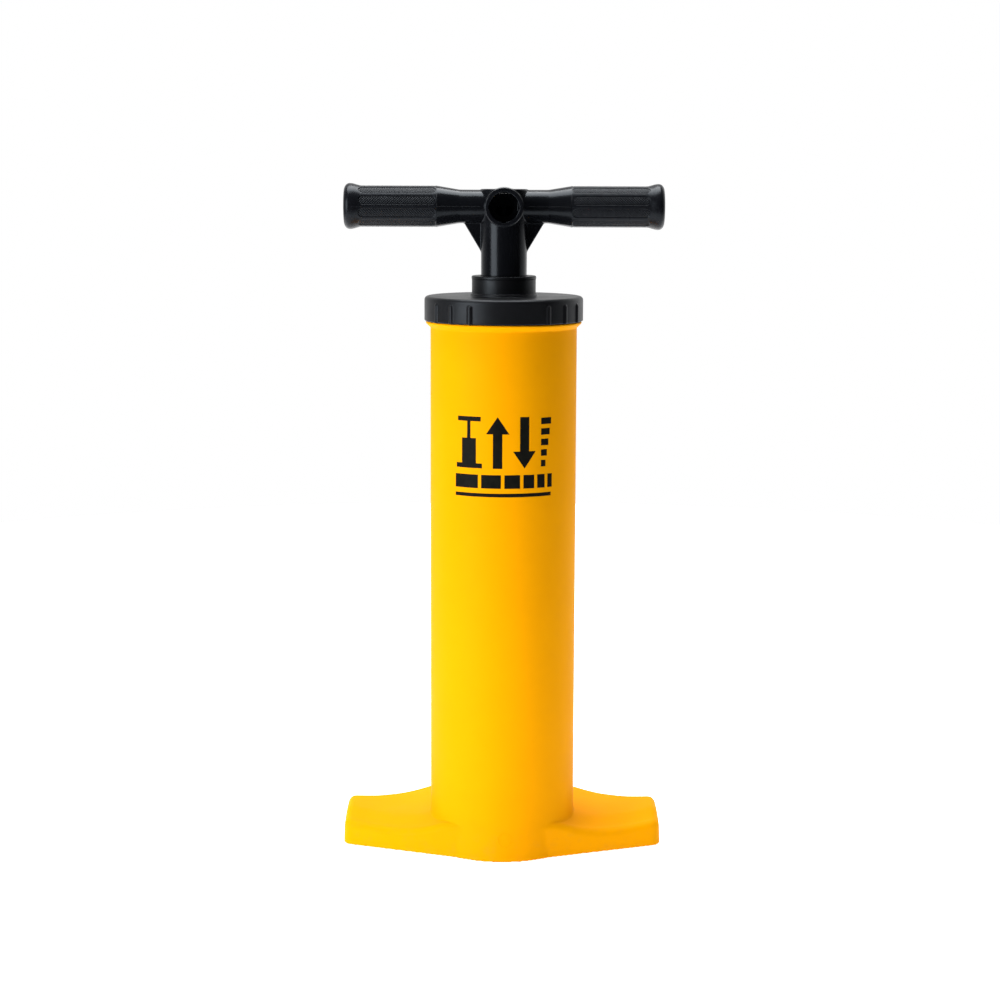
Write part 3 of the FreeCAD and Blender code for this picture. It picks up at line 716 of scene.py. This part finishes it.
def print_outlines():
    low, high = SIGN_Z
    outlines = pump_sign(-25, low, high)
    outlines.append(arrow(-4, low, high, *ARROW_SIZES))
    outlines.append(arrow(15, high, low, *ARROW_SIZES))
    for i in range(STAIR_COUNT):
        drop = STAIR_DROP * i
        outlines.append(rectangle(27.5, PRINT_HALF_W - STAIR_SHORTER * i,
                                  26.5 - drop, 31.0 - drop))
    left = -PRINT_HALF_W
    for width in BLOCK_WIDTHS:
        outlines.append(rectangle(left, left + width, -18, -8.5))
        left += width + BLOCK_GAP
    outlines.append(rectangle(-PRINT_HALF_W, PRINT_HALF_W, -24, -21.5))
    return outlines


def make_print():
    """Flat outlines cut into strips and bent round the cylinder as a thin film of ink."""
    film = bmesh.new()
    for outline in print_outlines():
        corners = [film.verts.new((s, 0, z)) for s, z in outline]
        film.faces.new(corners)
    for cut in np.arange(-PRINT_HALF_W - 0.5, PRINT_HALF_W + 1, PRINT_STRIP):
        bmesh.ops.bisect_plane(film, geom=film.verts[:] + film.edges[:] + film.faces[:],
                               plane_co=(cut, 0, 0), plane_no=(1, 0, 0))
    sheet = bmesh.ops.extrude_face_region(film, geom=film.faces[:])
    backs = {v for v in sheet["geom"] if isinstance(v, bmesh.types.BMVert)}
    for vert in film.verts:
        radius = BARREL_R + (-PRINT_DEPTH if vert in backs else PRINT_PROUD)
        angle = vert.co.x / BARREL_R
        z = PRINT_MIDDLE_Z + vert.co.z
        vert.co = (radius * math.sin(angle) * MM, -radius * math.cos(angle) * MM, z * MM)
    bmesh.ops.recalc_face_normals(film, faces=film.faces[:])
    mesh = bpy.data.meshes.new("print_mark")
    film.to_mesh(mesh)
    film.free()
    piece = linked("print_mark", mesh)
    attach(piece, "barrel")
    return piece


# ---- materials ----------------------------------------------------------------------------
CLOUD_RANGE = (0.3, 0.7)             # noise values where a marking starts and is full
SMUDGE_RANGE = (0.25, 0.75)
SCRATCH_RANGE = (0.62, 0.78)
SCRATCH_STRETCH = (900, 900, 18)     # hair scratches run upright
SCRATCH_DULL = 0.12                  # roughness that a scratch adds
SMUDGE_GLOSS = (-0.05, 0.06)
WEAR_RANGE = (0.5, 0.68)
WEAR_SCALE = 160.0
WEAR_TOP = 0.03                      # metres above the floor
WEAR_DULL = 0.3


def put(tree, kind, inputs, **settings):
    """Adds a node; an input given as a socket is linked, any other value is set."""
    node = tree.nodes.new(kind)
    for name, value in settings.items():
        setattr(node, name, value)
    for key, value in inputs.items():
        socket = node.inputs[key]
        if isinstance(value, bpy.types.NodeSocket):
            tree.links.new(value, socket)
        else:
            socket.default_value = value
    return node


def noise(tree, where, scale, detail, roughness):
    made = put(tree, "ShaderNodeTexNoise", {"Vector": where, "Scale": scale,
                                            "Detail": detail, "Roughness": roughness})
    return made.outputs["Fac"]


def stretched(tree, where, factors):
    return put(tree, "ShaderNodeMapping", {"Vector": where, "Scale": factors}).outputs["Vector"]


def remap(tree, value, old_low, old_high, new_low, new_high):
    made = put(tree, "ShaderNodeMapRange", {"Value": value,
                                            "From Min": old_low, "From Max": old_high,
                                            "To Min": new_low, "To Max": new_high})
    return made.outputs["Result"]


def blend_colour(tree, share, first, second):
    made = put(tree, "ShaderNodeMix", {0: share, 6: first, 7: second}, data_type="RGBA")
    return made.outputs[2]


def combine(tree, operation, first, second):
    return put(tree, "ShaderNodeMath", {0: first, 1: second}, operation=operation).outputs[0]


def moulded(name, colour, deep, rough, grain, depth, streak=0.0, patch=14.0, metal=0.0,
            wear=0.0, shine=0.3, tint=(1.0, 1.0, 1.0)):
    """Moulded surface: cloudy colour, fine grain and hair scratches, wear low down."""
    material = bpy.data.materials.new(name)
    material.use_nodes = True
    tree = material.node_tree
    shader = tree.nodes["Principled BSDF"]
    where = tree.nodes.new("ShaderNodeTexCoord").outputs["Object"]
    clouds = noise(tree, where, patch, 4.0, 0.6)
    share = remap(tree, clouds, *CLOUD_RANGE, 0.0, 1.0)
    base = blend_colour(tree, share, (*colour, 1), (*deep, 1))
    fine = noise(tree, where, grain, 2.0, 0.5)
    scratches = noise(tree, stretched(tree, where, SCRATCH_STRETCH), 1.0, 2.0, 0.7)
    marks = remap(tree, scratches, *SCRATCH_RANGE, 0.0, 1.0)
    height = combine(tree, "MULTIPLY_ADD", marks, -streak)
    tree.links.new(fine, height.node.inputs[2])
    smudges = noise(tree, where, patch * 2.3, 5.0, 0.65)
    gloss = remap(tree, smudges, *SMUDGE_RANGE, *[rough + change for change in SMUDGE_GLOSS])
    gloss = combine(tree, "ADD", gloss, combine(tree, "MULTIPLY", marks, SCRATCH_DULL))
    if wear:
        height_up = put(tree, "ShaderNodeSeparateXYZ", {0: where}).outputs[2]
        low_down = remap(tree, height_up, 0.0, WEAR_TOP, wear, 0.0)
        blots = noise(tree, where, WEAR_SCALE, 6.0, 0.75)
        rubs = remap(tree, blots, *WEAR_RANGE, 0.0, 1.0)
        rubbed = combine(tree, "MULTIPLY", low_down, rubs)
        base = blend_colour(tree, rubbed, base, (*[0.5 * c + 0.06 for c in deep], 1))
        gloss = combine(tree, "ADD", gloss, combine(tree, "MULTIPLY", rubbed, WEAR_DULL))
    bump = put(tree, "ShaderNodeBump", {"Strength": 1.0, "Distance": depth, "Height": height})
    tree.links.new(base, shader.inputs["Base Color"])
    tree.links.new(gloss, shader.inputs["Roughness"])
    tree.links.new(bump.outputs["Normal"], shader.inputs["Normal"])
    shader.inputs["Metallic"].default_value = metal
    shader.inputs["IOR"].default_value = 1.5
    shader.inputs["Specular IOR Level"].default_value = shine
    shader.inputs["Specular Tint"].default_value = (*tint, 1)
    return material


def dress(piece, material):
    data = piece.data
    data.materials.clear()
    data.materials.append(material)


COOL = (0.80, 0.90, 1.0)   # tint of the black pieces' reflections

yellow = moulded("barrel_plastic_look", (0.85, 0.350, 0.0), (0.82, 0.330, 0.0), 0.52, 1400.0,
                 0.000035, streak=0.35, patch=9.0, wear=0.12, shine=0.015)
hub_black = moulded("hub_black_look", (0.0032, 0.0036, 0.0048), (0.0050, 0.0055, 0.0070),
                    0.20, 1100.0, 0.000025, streak=0.5, patch=30.0, shine=0.15, tint=COOL)
grip_black = moulded("grip_black_look", (0.0040, 0.0044, 0.0062), (0.0060, 0.0066, 0.0085),
                     0.27, 2600.0, 0.00004, streak=0.4, patch=40.0, shine=0.14, tint=COOL)
cap_black = moulded("cap_black_look", (0.0035, 0.0035, 0.0042), (0.0055, 0.0055, 0.0063),
                    0.38, 2200.0, 0.00005, streak=0.3, patch=26.0, shine=0.18, tint=COOL)
ink = moulded("print_ink_look", (0.004, 0.0045, 0.004), (0.008, 0.008, 0.006), 0.45, 3000.0,
              0.00003, patch=260.0, shine=0.03)
rod_grey = moulded("rod_look", (0.030, 0.031, 0.034), (0.040, 0.041, 0.044), 0.30, 900.0,
                   0.00001, streak=0.4, patch=20.0, shine=0.15)
natural = moulded("inner_plastic_look", (0.70, 0.68, 0.62), (0.62, 0.60, 0.54), 0.42, 1500.0,
                  0.00005, streak=0.2, patch=24.0)
rubber = moulded("seal_rubber_look", (0.018, 0.018, 0.018), (0.028, 0.027, 0.026), 0.62, 3200.0,
                 0.00008, streak=0.2, patch=60.0)
valve_red = moulded("valve_rubber_look", (0.26, 0.045, 0.030), (0.20, 0.032, 0.022), 0.58,
                    3000.0, 0.00008, patch=80.0)
steel = moulded("screw_steel_look", (0.56, 0.56, 0.58), (0.48, 0.48, 0.50), 0.30, 2400.0,
                0.00004, streak=1.0, patch=120.0, metal=1.0)

SLOT_LOOKS = {"barrel_plastic": yellow, "handle_plastic": hub_black, "cap_plastic": cap_black,
              "rod_plastic": rod_grey, "inner_plastic": natural, "seal_rubber": rubber,
              "valve_rubber": valve_red, "screw_steel": steel}


def dress_cad_nodes():
    for part in frame["record"]["subparts"]:
        piece = frame["nodes"][part["node"]]
        for i in range(len(piece.material_slots)):
            piece.material_slots[i].material = SLOT_LOOKS[part["material_slot"]]


# ---- make everything ----------------------------------------------------------------------
def main_pieces():
    dress(make_barrel(), yellow)
    dress(make_gate_mark(), yellow)
    dress(make_print(), ink)
    dress(make_cap(), cap_black)
    dress(make_hub(), hub_black)
    for seam in make_seams():
        dress(seam, hub_black)
    for side in (-1, 1):
        dress(make_grip(side), grip_black)
        dress(make_end_plug(side), grip_black)


dress_cad_nodes()
main_pieces()


# ---- floor, light, camera -----------------------------------------------------------------
FLOOR_R = 1.25            # round floor; it ends in front, so the black parts don't mirror it
FLOOR_MIDDLE_Y = 0.45
FLOOR_GLOW = 0.72         # the light of the floor itself, as of a lit white table
WHITE = (1.0, 1.0, 1.0, 1.0)
LENS = 81.83              # fitted to the photo's perspective, on a 36 mm sensor
CAMERA_PLACE = (-0.0022, -1.6165, 0.4887)
CAMERA_DOWN = 8.31        # degrees
CAMERA_LEAN = 0.20
STUDIO_TURN = (-0.10, 0.80)   # y of a ray's direction where the studio starts and is full
STUDIO_LIGHT = (0.04, 0.9)    # its strength in front and behind
LAMPS = (                 # name, place, target, width, height, power
    ("key", (-1.26, -0.985, 0.55), (0, 0, 0.30), 0.9, 1.3, 29),
    ("fill", (1.39, 0.80, 0.50), (0, 0, 0.25), 2.0, 1.8, 5),
    ("top", (-0.10, 0.25, 1.90), (0, 0.05, 0.20), 1.4, 1.1, 55),
)


def make_floor():
    mesh = bpy.data.meshes.new("floor")
    edge = [(FLOOR_R * math.cos(a), FLOOR_MIDDLE_Y + FLOOR_R * math.sin(a), 0)
            for a in round_turn(96)]
    mesh.from_pydata(edge, [], [tuple(range(len(edge)))])
    floor = linked("floor", mesh)
    paint = bpy.data.materials.new("floor_paint")
    paint.use_nodes = True
    shader = paint.node_tree.nodes["Principled BSDF"]
    shader.inputs["Base Color"].default_value = (0.85, 0.85, 0.85, 1)
    shader.inputs["Roughness"].default_value = 0.8
    shader.inputs["Specular IOR Level"].default_value = 0.1
    shader.inputs["Emission Color"].default_value = WHITE
    shader.inputs["Emission Strength"].default_value = FLOOR_GLOW
    mesh.materials.append(paint)


def area_light(name, place, target, width, height, power):
    data = bpy.data.lights.new(name, "AREA")
    data.shape = "RECTANGLE"
    data.size = width
    data.size_y = height
    data.energy = power
    lamp = linked(name, data)
    lamp.location = place
    gaze = Vector(target) - Vector(place)
    lamp.rotation_euler = gaze.to_track_quat("-Z", "Y").to_euler()


def make_camera():
    data = bpy.data.cameras.new("camera")
    data.lens = LENS
    data.sensor_width = 36.0
    camera = linked("camera", data)
    tilt = Matrix.Rotation(math.radians(90 - CAMERA_DOWN), 3, "X")
    lean = Matrix.Rotation(math.radians(CAMERA_LEAN), 3, "Z")
    camera.rotation_euler = (tilt @ lean).to_euler()
    camera.location = CAMERA_PLACE
    bpy.context.scene.camera = camera


def make_world():
    """Bright white studio behind the pump, dim in front of it, and white to look at."""
    world = bpy.data.worlds.new("studio")
    world.use_nodes = True
    tree = world.node_tree
    way = tree.nodes.new("ShaderNodeTexCoord").outputs["Generated"]
    backward = put(tree, "ShaderNodeSeparateXYZ", {0: way}).outputs[1]
    light = remap(tree, backward, *STUDIO_TURN, *STUDIO_LIGHT)
    seen = tree.nodes.new("ShaderNodeLightPath").outputs["Is Camera Ray"]
    mix = put(tree, "ShaderNodeMix", {0: seen, 2: light, 3: 1.0}, data_type="FLOAT")
    shader = tree.nodes["Background"]
    shader.inputs["Color"].default_value = WHITE
    tree.links.new(mix.outputs[0], shader.inputs["Strength"])
    bpy.context.scene.world = world


make_floor()
make_world()
make_camera()
for lamp_settings in LAMPS:
    area_light(*lamp_settings)
bpy.context.scene.view_settings.view_transform = "Standard"
